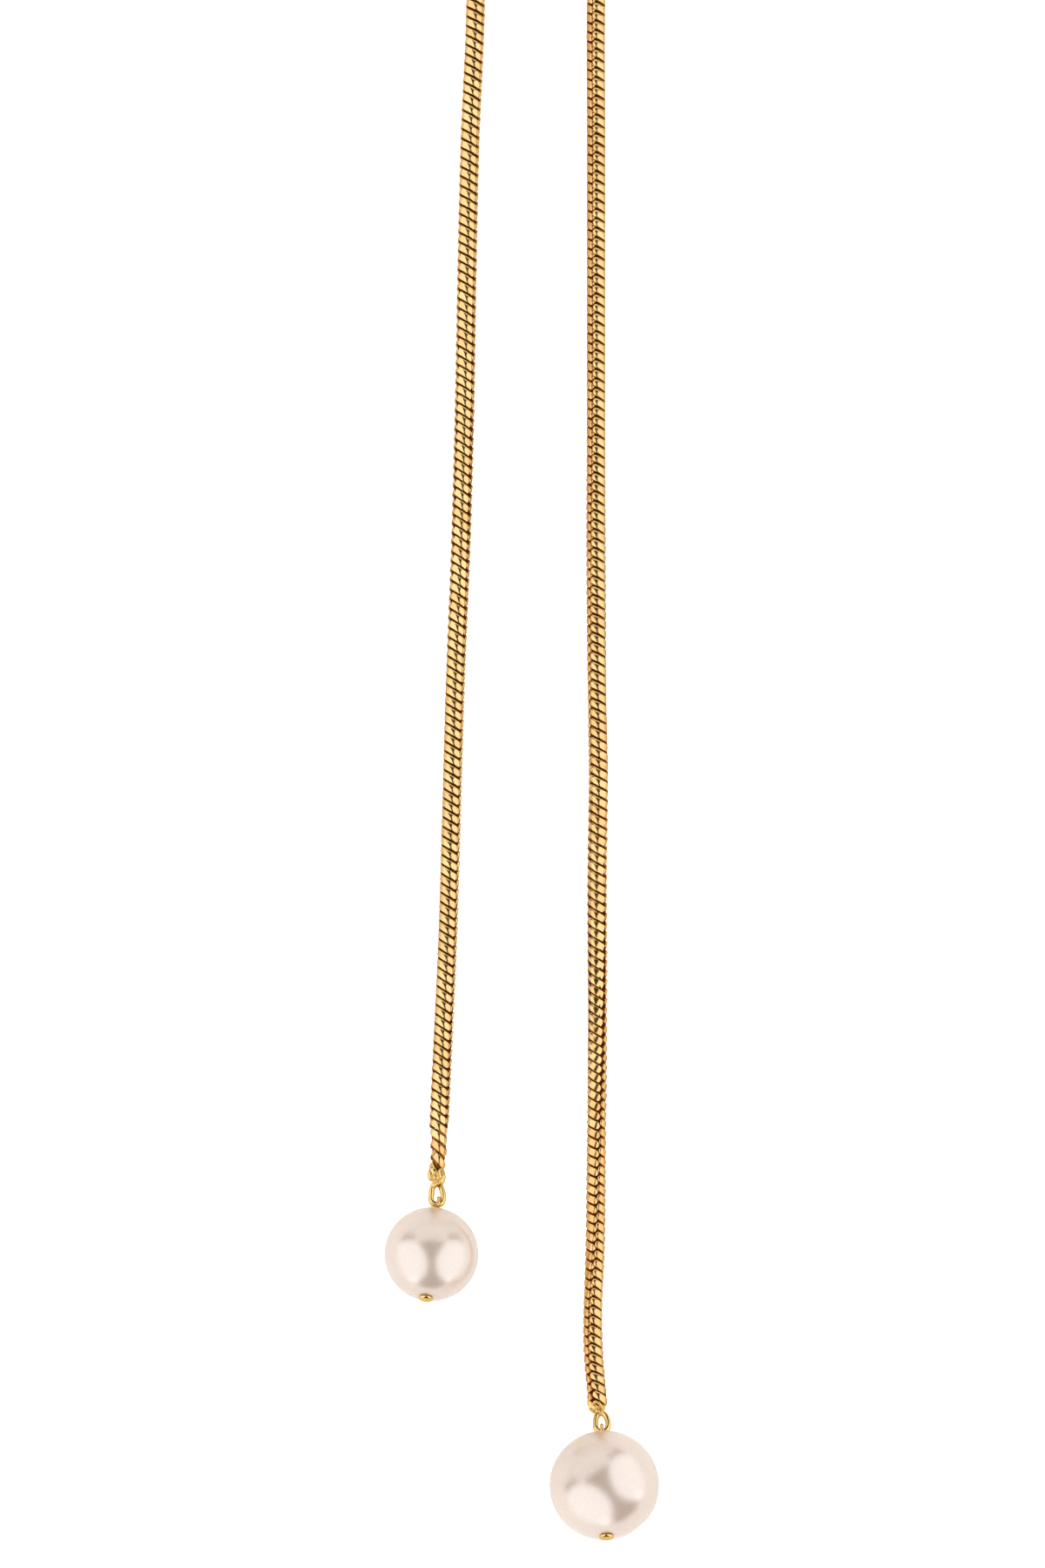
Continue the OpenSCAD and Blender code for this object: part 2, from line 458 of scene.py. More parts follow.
# Corners of a bar's section: share of its half height, drop in mm and how much painted shade darkens the
# groove there
ROUND_SECTION = [
    (-1, 0.30, 1.0), (-0.88, 0.13, 0.12), (-0.6, 0.04, 0), (0.6, 0.04, 0), (0.88, 0.13, 0.12),
    (1, 0.30, 1.0), (0, 0.5, 1.0),
]
FLAT_SECTION = [
    (-1, 0.30, 1.0), (-0.92, 0.06, 0.4), (-0.78, 0.0, 0), (0.78, 0.0, 0), (0.92, 0.06, 0.4),
    (1, 0.30, 1.0), (0, 0.5, 1.0),
]
# The two lines along a bar that are sharp where its section is mostly flat
SHARP_CORNERS = (2, 3)
SHARP_STATIONS = range(6, 9)
# Where a bar's own middle is, in pitches
BAR_MIDDLE = 0.98
# How much of their full height the bars have, on the short tail and on the rest
SHORT_FILL = 0.90
LONG_FILL = 0.93
# The bars stand a little proud of the CAD tube, so the chain is lifted to lie on the floor
BAR_LIFT = 0.05
# The core that shows between the bars, coloured all over with painted shade
CORE_R = 1.14
CORE_SIDES = 10
CORE_STEP = 1.2


def bar_shape(fill):
    """One bar round the Y axis, about its own middle: its points, its faces and how much painted shade
    darkens each point.

    Fill is how much of its full height the bar has, which sets the grooves' width.
    """
    rings = []
    groove = []
    for turn, middle, half, radius, flatness, end_shade in BAR_STATIONS:
        a = math.radians(turn)
        section = np.array(ROUND_SECTION) * (1 - flatness) + np.array(FLAT_SECTION) * flatness
        ring = []
        for share, drop, section_shade in section.tolist():
            out = radius - drop
            along = PITCH * (middle + share * half * fill - BAR_MIDDLE)
            ring.append((-out * math.sin(a), along, out * math.cos(a)))
            # Painted shade: each point is as dark as its groove corner or its end
            groove.append(max(section_shade, end_shade))
        rings.append(ring)
    points, faces = stack_rings(rings)
    return points, faces, groove


def sharpen_bars(mesh, bar_points):
    """Marks the lines sharp where each bar's flat face meets its edges."""
    around = len(FLAT_SECTION)
    sharp = []
    for edge in mesh.edges:
        a, b = sorted(edge.vertices)
        station = a // around % len(BAR_STATIONS)
        on_line = a % around == b % around and a % around in SHARP_CORNERS
        sharp.append(on_line and b < bar_points and station in SHARP_STATIONS)
    mesh.attributes.new("sharp_edge", "BOOLEAN", "EDGE").data.foreach_set("value", sharp)


def bar_object(fill):
    """The bar as an object, for Geometry Nodes to repeat."""
    points, faces, groove = bar_shape(fill)
    bar = add_piece("link_bar", mesh_of("link_bar", points, faces, {"groove": groove}))
    sharpen_bars(bar.data, len(points))
    return bar


# Where the seam between the columns lies, in degrees from the top of the chain, and how far the
# links lean, in degrees clockwise from above. Both go by y along each tail, in millimetres.
SHORT_SEAM = [
    (-166.4, -86), (-160.9, -80), (-149.8, -72), (-138.7, -68), (-122, -71), (-110.9, -78),
    (-99.8, -88), (-22, -92),
]
SHORT_LEAN = [(-154, 9), (-148, 7), (-128.7, 5), (-112, 6), (-82.6, 11), (-27.6, 3)]
LONG_SEAM = [
    (-199.8, -226), (-197.6, -222), (-188.7, -204), (-179.8, -184), (-173.1, -174), (-164.2, -158),
    (-155.3, -139), (-147.6, -123), (-133.1, -103), (-122, -83), (-110.9, -57), (-102, -46),
    (-93.1, -39), (-75.3, -25), (-22, -22),
]
LONG_LEAN = [
    (-199.9, 16), (-198.8, 6), (-197.6, 5), (-188.7, 6), (-180.9, 7), (-174.2, 7), (-166.4, 10),
    (-157.6, 14), (-147.6, 14), (-133.1, 8), (-110.9, 3.4), (-77.6, 2), (-22, 0),
]
# The photograph's top edge, where each tail goes over into the loop
TAIL_TOP_Y = -22


def by_table(table, y):
    """The value at y in a table of (y, value) rows."""
    return float(np.interp(y, [row[0] for row in table], [row[1] for row in table]))


# Where the route first and last passes the photograph's top edge, in mm along it
short_top_at = float(route_at[np.argmax(route_line[:, 1] > TAIL_TOP_Y)])
long_top_at = float(route_at[len(route_line) - np.argmax(route_line[::-1, 1] > TAIL_TOP_Y)])


def seam_and_lean(at):
    """Seam angle and lean of the links there, in degrees. The loop's go evenly from tail to tail."""
    y = route_point(at).y
    if at < short_top_at:
        return by_table(SHORT_SEAM, y), by_table(SHORT_LEAN, y)
    if at > long_top_at:
        return by_table(LONG_SEAM, y), by_table(LONG_LEAN, y)
    ends = (short_top_at, long_top_at)
    seam = np.interp(at, ends, (by_table(SHORT_SEAM, TAIL_TOP_Y), by_table(LONG_SEAM, TAIL_TOP_Y)))
    lean = np.interp(at, ends, (by_table(SHORT_LEAN, TAIL_TOP_Y), by_table(LONG_LEAN, TAIL_TOP_Y)))
    return float(seam), float(lean)


# Seam angles between which the other column of links comes to lie on the left
SWAP_FROM = math.radians(-150)
SWAP_TO = math.radians(-195)


def link_tree():
    """Geometry Nodes that lay bars along a line, round a core coloured with painted shade."""
    tree = bpy.data.node_groups.new("lay_links", "GeometryNodeTree")
    face = tree.interface
    face.new_socket("Geometry", in_out="INPUT", socket_type="NodeSocketGeometry")
    for label, kind in [
        ("Bar", "NodeSocketObject"), ("Bar count", "NodeSocketInt"), ("Spacing", "NodeSocketFloat"),
        ("Core radius", "NodeSocketFloat"), ("Core sides", "NodeSocketInt"),
        ("Wobble", "NodeSocketFloat"), ("Palest tone", "NodeSocketFloat"),
        ("Warmest tone", "NodeSocketFloat"), ("Left column tone", "NodeSocketFloat"),
        ("Seed", "NodeSocketInt"), ("Finish", "NodeSocketMaterial"),
    ]:
        face.new_socket(label, in_out="INPUT", socket_type=kind)
    face.new_socket("Geometry", in_out="OUTPUT", socket_type="NodeSocketGeometry")
    graph = Graph(tree)
    entry = tree.nodes.new("NodeGroupInput")
    given = {socket.name: Wire(graph, socket) for socket in entry.outputs if socket.name}

    line = graph.node("GeometryNodeMeshToCurve", None, {"Mesh": given["Geometry"]})
    half = given["Spacing"] * 0.5
    length = graph.node("GeometryNodeCurveLength", None, {"Curve": line})
    inner = graph.node(
        "GeometryNodeTrimCurve", {"mode": "LENGTH"}, {"Curve": line, 4: half, 5: length - half}
    )
    spots = graph.node(
        "GeometryNodeResampleCurve", {"mode": "COUNT"}, {"Curve": inner, "Count": given["Bar count"]}
    )

    def stored(label):
        return graph.node("GeometryNodeInputNamedAttribute", {"data_type": "FLOAT"}, {"Name": label})

    def drawn(low, high, more):
        sockets = {2: low, 3: high, "Seed": given["Seed"] + more}
        return graph.node("FunctionNodeRandomValue", {"data_type": "FLOAT"}, sockets, out=1)

    def turned(rotation, space, axis, angle):
        turn = graph.node("FunctionNodeAxisAngleToRotation", None, {"Axis": axis, "Angle": angle})
        sockets = {"Rotation": rotation, "Rotate By": turn}
        return graph.node("FunctionNodeRotateRotation", {"rotation_space": space}, sockets)

    along = graph.node("GeometryNodeInputTangent")
    index = graph.node("GeometryNodeInputIndex")
    rotation = graph.node(
        "FunctionNodeAxesToRotation", {"primary_axis": "Y", "secondary_axis": "Z"},
        {"Primary Axis": along, "Secondary Axis": UP},
    )
    swing = index * math.pi - stored("seam") + drawn(-1.0, 1.0, 1) * given["Wobble"]
    rotation = turned(rotation, "LOCAL", (0, 1, 0), swing)
    tip = drawn(-1.0, 1.0, 2) * given["Wobble"] - stored("lean")
    rotation = turned(rotation, "GLOBAL", UP, tip)
    bar = graph.node("GeometryNodeObjectInfo", None, {"Object": given["Bar"]}, out="Geometry")
    bars = graph.node(
        "GeometryNodeInstanceOnPoints", None, {"Points": spots, "Instance": bar, "Rotation": rotation}
    )
    # The two columns swap sides where the seam has turned past the underside
    swapped = ((SWAP_FROM - stored("seam")) / (SWAP_FROM - SWAP_TO)).clamped()
    odd = index % 2.0
    leftness = odd + swapped - odd * swapped * 2.0
    # Painted shade: the left column's bars get a darker, rosier tone
    tone = drawn(given["Palest tone"], given["Warmest tone"], 3) + leftness * given["Left column tone"]
    bars = graph.node(
        "GeometryNodeStoreNamedAttribute", {"data_type": "FLOAT", "domain": "INSTANCE"},
        {"Geometry": bars, "Name": "tone", "Value": tone},
    )
    bars = graph.node("GeometryNodeRealizeInstances", None, {"Geometry": bars})

    # Painted shade: the whole core is marked as deep in the grooves, so it is coloured red-brown
    core_shade_line = graph.node(
        "GeometryNodeStoreNamedAttribute", {"data_type": "FLOAT", "domain": "POINT"},
        {"Geometry": line, "Name": "groove", "Value": 1.0},
    )
    ring = graph.node(
        "GeometryNodeCurvePrimitiveCircle", {"mode": "RADIUS"},
        {"Resolution": given["Core sides"], "Radius": given["Core radius"]},
    )
    core = graph.node(
        "GeometryNodeCurveToMesh", None,
        {"Curve": core_shade_line, "Profile Curve": ring, "Fill Caps": True},
    )
    both = graph.node("GeometryNodeJoinGeometry", None, {"Geometry": [bars, core]})
    sockets = {"Geometry": both, "Material": given["Finish"]}
    finished = graph.node("GeometryNodeSetMaterial", None, sockets)
    graph.node("NodeGroupOutput", None, {"Geometry": finished})
    return tree


def set_inputs(modifier, values):
    """Sets a Geometry Nodes modifier's inputs by the identifiers behind their names."""
    for item in modifier.node_group.interface.items_tree:
        if item.in_out == "INPUT" and item.name in values:
            modifier[item.identifier] = values[item.name]


def baked(piece):
    """Turns what an object's modifiers make into its plain mesh."""
    made = piece.evaluated_get(bpy.context.evaluated_depsgraph_get())
    mesh = bpy.data.meshes.new_from_object(made)
    piece.modifiers.clear()
    piece.data = mesh
    mesh.name = piece.name
    return piece


# How far a bar may be turned and tipped at random
WOBBLE = math.radians(1.2)
# The evenly laid bars begin so many mm from the short tail's end. They stop so many mm before the
# long tail's end, or past it where the number is negative.
REGULAR_FROM = 3.9
REGULAR_TO = -0.33
# Each stretch's palest and warmest tone, and how much painted shade darkens its left column.
# The short tail is the palest in the photograph.
SHORT_TONES = (0.0, 0.5, 0.0)
LOOP_TONES = (0.0, 0.6, 0.4)
LONG_TONES = (0.1, 0.6, 0.65)


def lay_links(name, start, bar_count, spacing, tones, tree, bar, finish, seed):
    """A stretch of chain as one mesh, from a place on the route, with so many bars."""
    length = bar_count * spacing
    spans = max(1, round(length / CORE_STEP))
    places = [start + length * k / spans for k in range(spans + 1)]
    line = [(route_point(at) + BAR_LIFT * UP) * MM for at in places]
    mesh = bpy.data.meshes.new(name)
    mesh.from_pydata(line, [(k, k + 1) for k in range(spans)], [])
    turns = [seam_and_lean(at) for at in places]
    for label, column in (("seam", 0), ("lean", 1)):
        values = [math.radians(row[column]) for row in turns]
        mesh.attributes.new(label, "FLOAT", "POINT").data.foreach_set("value", values)
    piece = add_piece(name, mesh, smooth=False)
    modifier = piece.modifiers.new("links", "NODES")
    modifier.node_group = tree
    set_inputs(modifier, {
        "Bar": bar, "Bar count": bar_count, "Spacing": spacing * MM, "Core radius": CORE_R * MM,
        "Core sides": CORE_SIDES, "Wobble": WOBBLE, "Palest tone": tones[0], "Warmest tone": tones[1],
        "Left column tone": tones[2], "Seed": seed, "Finish": finish,
    })
    return baked(piece)


def lay_chain(finish):
    """The chain's three stretches, with the same spacing from end to end."""
    short_bar = bar_object(SHORT_FILL)
    long_bar = bar_object(LONG_FILL)
    tree = link_tree()
    regular = ROUTE_LENGTH - REGULAR_FROM - REGULAR_TO
    bar_total = round(regular / PITCH) * 2
    spacing = regular / bar_total
    short_bars = int((short_top_at - REGULAR_FROM) / spacing) // 2 * 2
    long_bars = int((ROUTE_LENGTH - long_top_at - REGULAR_TO) / spacing) // 2 * 2
    loop_bars = bar_total - short_bars - long_bars
    stretches = []
    start = REGULAR_FROM
    for name, bar_count, tones, bar, seed in (
        ("chain_short_tail", short_bars, SHORT_TONES, short_bar, 3),
        ("chain_loop", loop_bars, LOOP_TONES, long_bar, 5),
        ("chain_long_tail", long_bars, LONG_TONES, long_bar, 7),
    ):
        stretches.append(lay_links(name, start, bar_count, spacing, tones, tree, bar, finish, seed))
        start += bar_count * spacing
    bpy.data.objects.remove(short_bar)
    bpy.data.objects.remove(long_bar)
    return stretches


# The chain's two ends. The short tail's last links gape, and both ends are soldered, with short
# wires crossing below the solder.

# Each gaping link: x, y and z of its middle in mm, the way it faces and its lean in degrees, its size
LOOSE_LINKS = [
    (-12.41, -166.96, 1.25, 8, 14, 0.98), (-12.42, -167.7, 1.2, 177, 6, 0.86),
    (-12.40, -168.38, 1.25, 10, 20, 0.97), (-12.42, -169.2, 1.2, 177, 8, 0.84),
    (-12.42, -169.9, 1.25, 10, 29, 0.98), (-12.6, -170.8, 1.15, 177, 10, 0.8),
    (-12.62, -171.15, 1.2, -62, 40, 0.9),
]
# The thin core between them, coloured with painted shade: x, y, z and radius in mm
LOOSE_CORE = [(-12.4, -166.0, 1.25, 1.0), (-12.35, -168.5, 1.2, 0.9), (-12.55, -171.4, 1.2, 0.7)]
LOOSE_CORE_STEP = 0.3
# How much painted shade darkens the thin core
LOOSE_CORE_SHADE = 0.72
# Each gaping link's tone is this much on from the last one's, starting again past 1
TONE_STEP = 0.37


def loose_links(finish):
    """The gaping links, posed one by one."""
    bar_points, bar_faces, bar_groove_shade = bar_shape(SHORT_FILL)
    points, faces, groove, tone = [], [], [], []
    for k, (x, y, z, facing, lean, size) in enumerate(LOOSE_LINKS):
        pose = (
            Matrix.Translation((x, y, z))
            @ Matrix.Rotation(-math.radians(lean), 4, "Z")
            @ Matrix.Rotation(math.radians(90 + facing), 4, "Y")
            @ Matrix.Scale(size, 4)
        )
        faces += [tuple(v + len(points) for v in face) for face in bar_faces]
        points += placed(bar_points, pose)
        groove += bar_groove_shade
        tone += [k * TONE_STEP % 1.0] * len(bar_points)
    core = smoothed(LOOSE_CORE, LOOSE_CORE_STEP).tolist()
    rings = tube_rings([p[:3] for p in core], [p[3] for p in core], CORE_SIDES)
    core_points, core_faces = stack_rings(rings)
    faces += [tuple(v + len(points) for v in face) for face in core_faces]
    points += core_points
    groove += [LOOSE_CORE_SHADE] * len(core_points)
    tone += [0.0] * len(core_points)
    mesh = mesh_of("small_loose_links", points, faces, {"groove": groove, "tone": tone})
    piece = add_piece(mesh.name, mesh, finish)
    sharpen_bars(mesh, len(points) - len(core_points))
    return piece


# Strokes of solder and wire, melted into one: rows of x, y, z and radius in mm
SOLDER = [
    [
        [(-12.6, -171.8, 1.6, 0.75), (-12.5, -172.3, 1.65, 0.8), (-12.35, -172.9, 1.6, 0.55)],
        [(-12.1, -171.3, 1.9, 0.42), (-11.97, -172.1, 2.0, 0.52), (-12.1, -172.85, 1.9, 0.42)],
        [(-13.42, -171.55, 1.55, 0.42), (-13.38, -172.2, 1.55, 0.47)],
        [(-13.3, -171.7, 1.2, 0.5), (-12.7, -172.4, 1.4, 0.65)],
        [(-12.75, -171.65, 2.05, 0.42), (-12.75, -172.15, 2.15, 0.46)],
        [(-13.2, -173.35, 1.9, 0.33), (-12.95, -172.95, 2.0, 0.33), (-12.6, -172.6, 1.9, 0.35)],
        [(-12.95, -173.35, 2.15, 0.24), (-12.5, -172.9, 2.4, 0.26), (-12.15, -172.45, 2.3, 0.24)],
    ],
    [
        [(7.25, -200.9, 1.6, 0.75), (7.6, -201.5, 1.75, 0.8), (8.0, -202.1, 1.75, 0.55)],
        [(8.2, -200.8, 1.5, 0.6), (8.4, -201.4, 1.8, 0.5), (8.3, -202.0, 1.9, 0.5)],
        [(6.95, -200.75, 1.9, 0.3), (6.9, -201.2, 1.9, 0.3), (7.2, -201.8, 2.0, 0.3)],
        [(7.3, -201.05, 2.45, 0.17), (7.55, -200.75, 2.6, 0.2), (8.0, -200.9, 2.65, 0.22),
         (8.35, -201.35, 2.5, 0.24), (8.6, -201.9, 2.3, 0.24)],
        [(7.45, -201.9, 2.3, 0.3), (7.9, -201.95, 2.4, 0.3)],
        [(6.92, -201.75, 2.35, 0.19), (7.45, -202.2, 2.5, 0.2), (8.0, -202.65, 2.6, 0.2)],
        [(8.55, -201.9, 2.35, 0.26), (8.2, -202.3, 2.55, 0.22), (7.95, -202.65, 2.6, 0.18)],
    ],
]
# From one ball of a stroke to the next
BALL_STEP = 0.1
BALL_DETAIL = 2
# Melting happens in units a thousand times larger, because a voxel has a least size
VOXEL = 0.05
SOLDER_SMOOTHING = 9


def make_solder(i, finish):
    """Strokes of balls melted into one lump by a voxel remesh."""
    shape = bmesh.new()
    for stroke in SOLDER[i]:
        for x, y, z, r in smoothed(stroke, BALL_STEP):
            bmesh.ops.create_icosphere(
                shape, subdivisions=BALL_DETAIL, radius=r, matrix=Matrix.Translation((x, y, z))
            )
    name = f"{DROPS[i]}_soldered_end"
    mesh = bpy.data.meshes.new(name)
    shape.to_mesh(mesh)
    shape.free()
    piece = add_piece(name, mesh, smooth=False)
    melt = piece.modifiers.new("melt", "REMESH")
    melt.mode = "VOXEL"
    melt.voxel_size = VOXEL
    soften = piece.modifiers.new("soften", "SMOOTH")
    soften.iterations = SOLDER_SMOOTHING
    baked(piece)
    piece.data.transform(Matrix.Scale(MM, 4))
    piece.data.materials.append(finish)
    piece.data.shade_smooth()
    return piece


# Drops: the two pearls with their pins and rings. Each list has the small drop first.

DROPS = ["small", "large"]
PEARL_R = [6.0, 7.0]
# Depth of the flat round the hole's upper end, in mm
CROWN_FLAT = [0.0, 0.5]
# The hole's dip below the level at its upper end, and its turn away from +Y, in degrees
TILT = [23.5, 24.5]
LEAN = [7.4, -2.3]
# Turns of the soldered end and of the jump ring away from -Y, towards +X, in degrees
CAP_TURN = [-2, 9]
RING_TURN = [3.5, 6.5]
# From the tail's end to the middle of the jump ring's wire
CAP_REACH = [3.3, 1.95]
TAIL_END = [Vector(ROUTE[0]), Vector(ROUTE[-1])]
PIN_R = 0.25
EYE_BORE_R = 0.5
EYE_R = EYE_BORE_R + 2 * PIN_R
# The plain ring of part.scad, which sets where the drops lie
RING_WIRE_R = 0.35
RING_L = 3.86
RING_REACH = RING_L - 2 * RING_WIRE_R
# Points round the wire of the pins and rings
WIRE_SIDES = 20


def heading(turn):
    """Direction of a turn away from -Y, on the level."""
    a = math.radians(turn)
    return Vector((math.sin(a), -math.cos(a), 0))


def hole_axis(i):
    """Direction of the hole, from the pearl's middle to its upper end."""
    tilt, lean = math.radians(TILT[i]), math.radians(LEAN[i])
    return Vector((math.sin(lean) * math.cos(tilt), math.cos(lean) * math.cos(tilt), -math.sin(tilt)))


def eye_reach(i):
    """From the pearl's middle to the middle of the pin's eye."""
    return PEARL_R[i] - CROWN_FLAT[i] + EYE_R


def ring_top(i):
    """The middle of the wire at the jump ring's upper end."""
    return TAIL_END[i] + CAP_REACH[i] * heading(CAP_TURN[i])


def ring_axis(i):
    """Direction from the jump ring's upper end to its lower end, which climbs to the eye."""
    eye_z = PEARL_R[i] - eye_reach(i) * math.sin(math.radians(TILT[i]))
    slope = math.asin((eye_z - ring_top(i).z) / RING_REACH)
    return math.cos(slope) * heading(RING_TURN[i]) + math.sin(slope) * UP


def eye_centre(i):
    """The middle of the pin's eye, where the jump ring's lower end hangs in it."""
    return ring_top(i) + RING_REACH * ring_axis(i)


def pearl_centre(i):
    """The pearl's middle, below the eye along the hole."""
    return eye_centre(i) - eye_reach(i) * hole_axis(i)


def aimed(point, direction):
    """The frame that has its Z along a direction and its Y level, as in part.scad."""
    turn = Matrix.Rotation(math.atan2(direction.y, direction.x), 4, "Z")
    dip = Matrix.Rotation(math.acos(direction.z), 4, "Y")
    return Matrix.Translation(point) @ turn @ dip


# Pearls

# Points round a pearl and rows down it
AROUND = 144
DOWN = 96
BORE_R = 0.45
# The rounded rim of the hole
RIM_R = 0.18
RIM_STEPS = 4
# Flats pressed into each pearl: the direction of the flat and how deep it cuts, in mm
FLATS = [
    [((0.72, 0.62, 0.3), 0.10), ((-0.8, -0.3, 0.2), 0.05)],
    [((0.62, -0.75, 0.1), 0.14), ((-0.62, 0.76, 0.15), 0.12)],
]
# How softly a flat goes over into the ball, in mm
FLAT_BLEND = 0.05
# The cosine of the angle past which a flat has no effect
FLAT_REACH = 0.7
# How worn the coat is round the holes, over what width in mm, and how worn the hole's wall is
WORN_RIM = 0.7
WORN_RIM_WIDTH = 0.9
WORN_BORE = 0.8
# Where the coat is worn warm besides the holes: direction, width in mm and strength
WORN_SPOTS = [
    [((0.25, 0.85, 0.3), 2.2, 0.14)],
    [((-0.43, 0.85, 0.3), 1.8, 0.8), ((-0.58, 0.76, 0.3), 1.4, 0.4)],
]


def dented(direction, radius, flats):
    """Distance from the middle to the surface of a ball with soft flats."""
    out = radius
    for normal, depth in flats:
        facing = direction.dot(normal)
        if facing > FLAT_REACH:
            flat = (radius - depth) / facing
            out = -FLAT_BLEND * math.log(math.exp(-out / FLAT_BLEND) + math.exp(-flat / FLAT_BLEND))
    return out


def make_pearl(i, finish):
    """A drilled pearl: its skin, the rounded rims of its hole and the hole's wall."""
    radius = PEARL_R[i]
    axis = hole_axis(i)
    frame_at = aimed(pearl_centre(i), axis)
    turn = frame_at.to_3x3()
    centre = pearl_centre(i)
    flats = [(Vector(n).normalized(), depth) for n, depth in FLATS[i]]
    spots = [(Vector(middle), width, strength) for middle, width, strength in WORN_SPOTS[i]]
    if CROWN_FLAT[i]:
        flats.append((axis, CROWN_FLAT[i]))
    edge = math.asin((BORE_R + RIM_R) / radius)
    rings = []
    worn = []
    for k in range(DOWN + 1):
        polar = edge + (math.pi - 2 * edge) * k / DOWN
        from_hole = (min(polar, math.pi - polar) - edge) * radius
        ring = []
        for local in level_ring(math.sin(polar), math.cos(polar), AROUND):
            direction = turn @ Vector(local)
            ring.append(centre + direction * dented(direction, radius, flats))
            wear = max(0.0, 1 - from_hole / WORN_RIM_WIDTH) * WORN_RIM
            for middle, width, strength in spots:
                wear = max(wear, strength * max(0.0, 1 - direction.angle(middle) * radius / width))
            worn.append(wear)
        rings.append(ring)
    lower = rings[-1]
    upper = rings[0]

    def rim(ring, inward):
        """Rings that roll over from the skin into the hole."""
        made = []
        flat_at = sum((turn.transposed() @ (p - centre)).z for p in ring) / len(ring)
        for step in range(1, RIM_STEPS + 1):
            a = math.pi / 2 * step / RIM_STEPS
            r = BORE_R + RIM_R * (1 - math.sin(a))
            z = flat_at + inward * RIM_R * (1 - math.cos(a))
            made.append(placed(level_ring(r, z, AROUND), frame_at))
        return made

    rings += rim(lower, 1)
    rings += rim(upper, -1)[::-1]
    worn += [WORN_BORE] * (AROUND * 2 * RIM_STEPS)
    points, faces = stack_rings(rings, closed=True)
    mesh = mesh_of(f"{DROPS[i]}_pearl_drilled", points, faces, {"worn": worn})
    return add_piece(mesh.name, mesh, finish)


# Head pins

def arc(middle, radius, start, end, count, across, up):
    """Points on an arc in the plane of two directions."""
    turns = [math.radians(start + (end - start) * k / (count - 1)) for k in range(count)]
    return [middle + radius * (math.cos(a) * across + math.sin(a) * up) for a in turns]


# Radius and thickness of the flat head in part.scad
HEAD_R = 0.925
HEAD_T = 0.35
# The domed head's outline: radius and distance from its flat side, in mm
HEAD_OUTLINE = [
    (PIN_R, 0), (HEAD_R - 0.08, 0), (HEAD_R - 0.02, 0.04), (HEAD_R, 0.11), (HEAD_R - 0.03, 0.20),
    (HEAD_R - 0.12, 0.28), (0.66, HEAD_T - 0.01), (0.45, HEAD_T + 0.06), (0.22, HEAD_T + 0.11),
    (0.06, HEAD_T + 0.125),
]
HEAD_SIDES = 40
# Between the pearl and the head
SEAT_GAP = 0.05
# The straight wire stops so far before the eye's bend
SHANK_GAP = 0.12
SHANK_POINTS = 8
# The eye's bend, in degrees, and its points
EYE_FROM = -84
EYE_TO = 198
EYE_POINTS = 36
# How the cut end goes on from the bend, in mm: down, sideways and away from the pearl
WIRE_END = [(0.0, 0.08, -0.14), (0.02, 0.26, -0.24), (0.04, 0.55, -0.27), (0.06, 0.95, -0.28)]
# The side to which it goes: 1 is to the left as the camera sees it, and -1 to the right
WIRE_END_SIDE = [1, -1]


def make_pin(i, wire):
    """A head pin: domed head, wire through the pearl, and the eye, whose cut end sticks out sideways."""
    low = -PEARL_R[i] - SEAT_GAP
    head = [level_ring(radius, low - depth, HEAD_SIDES) for radius, depth in HEAD_OUTLINE]
    points, faces = stack_rings(head)
    eye = Vector((0, 0, eye_reach(i)))
    bend = EYE_BORE_R + PIN_R
    shank_top = eye_reach(i) - bend - SHANK_GAP
    path = [Vector((0, 0, z)) for z in np.linspace(low, shank_top, SHANK_POINTS)]
    path += arc(eye, bend, EYE_FROM, EYE_TO, EYE_POINTS, Vector((1, 0, 0)), UP)
    leave = path[-1]
    path += [leave + Vector((x, WIRE_END_SIDE[i] * y, z)) for x, y, z in WIRE_END]
    rings = tube_rings(path, PIN_R, WIRE_SIDES)
    more, more_faces = stack_rings(rings)
    shift = len(points)
    points = placed([*points, *more], aimed(pearl_centre(i), hole_axis(i)))
    faces += [tuple(v + shift for v in face) for face in more_faces]
    mesh = mesh_of(f"{DROPS[i]}_head_pin_wire", points, faces)
    return add_piece(mesh.name, mesh, wire)


# Jump rings

# The middle line of each ring in its own plane, in mm: along from its upper end, and to the right
RING_SHAPES = [
    [
        (-0.05, 0.05), (0.2, -0.42), (0.75, -0.68), (1.6, -0.78), (2.55, -0.84), (3.08, -0.55),
        (3.3, 0.08), (2.95, 0.55), (1.9, 0.73), (0.8, 0.58), (0.1, 0.38),
    ],
    [
        (-0.1, 0.05), (0.1, -0.3), (0.6, -0.56), (1.5, -0.7), (2.5, -0.72), (3.1, -0.42), (3.28, 0.1),
        (3.0, 0.62), (2.3, 0.85), (1.4, 0.86), (0.5, 0.68), (0.0, 0.38),
    ],
]
RING_STEP = 0.12
RING_THICKNESS = 0.76
# How far the solder holds each ring's upper end above the plain CAD ring's, in mm
RING_RISE = [0.5, 0.7]


def round_trip(points, step):
    """Points about a step apart on a smooth closed curve through the points."""
    lead = 3
    padded = [*points[-lead:], *points, *points[:lead]]
    counts = [
        max(1, round(math.dist(padded[j], padded[j + 1]) / step)) for j in range(len(padded) - 1)
    ]
    line = smoothed(padded, step)
    start = sum(counts[:lead])
    return line[start:start + sum(counts[lead:lead + len(points)])]


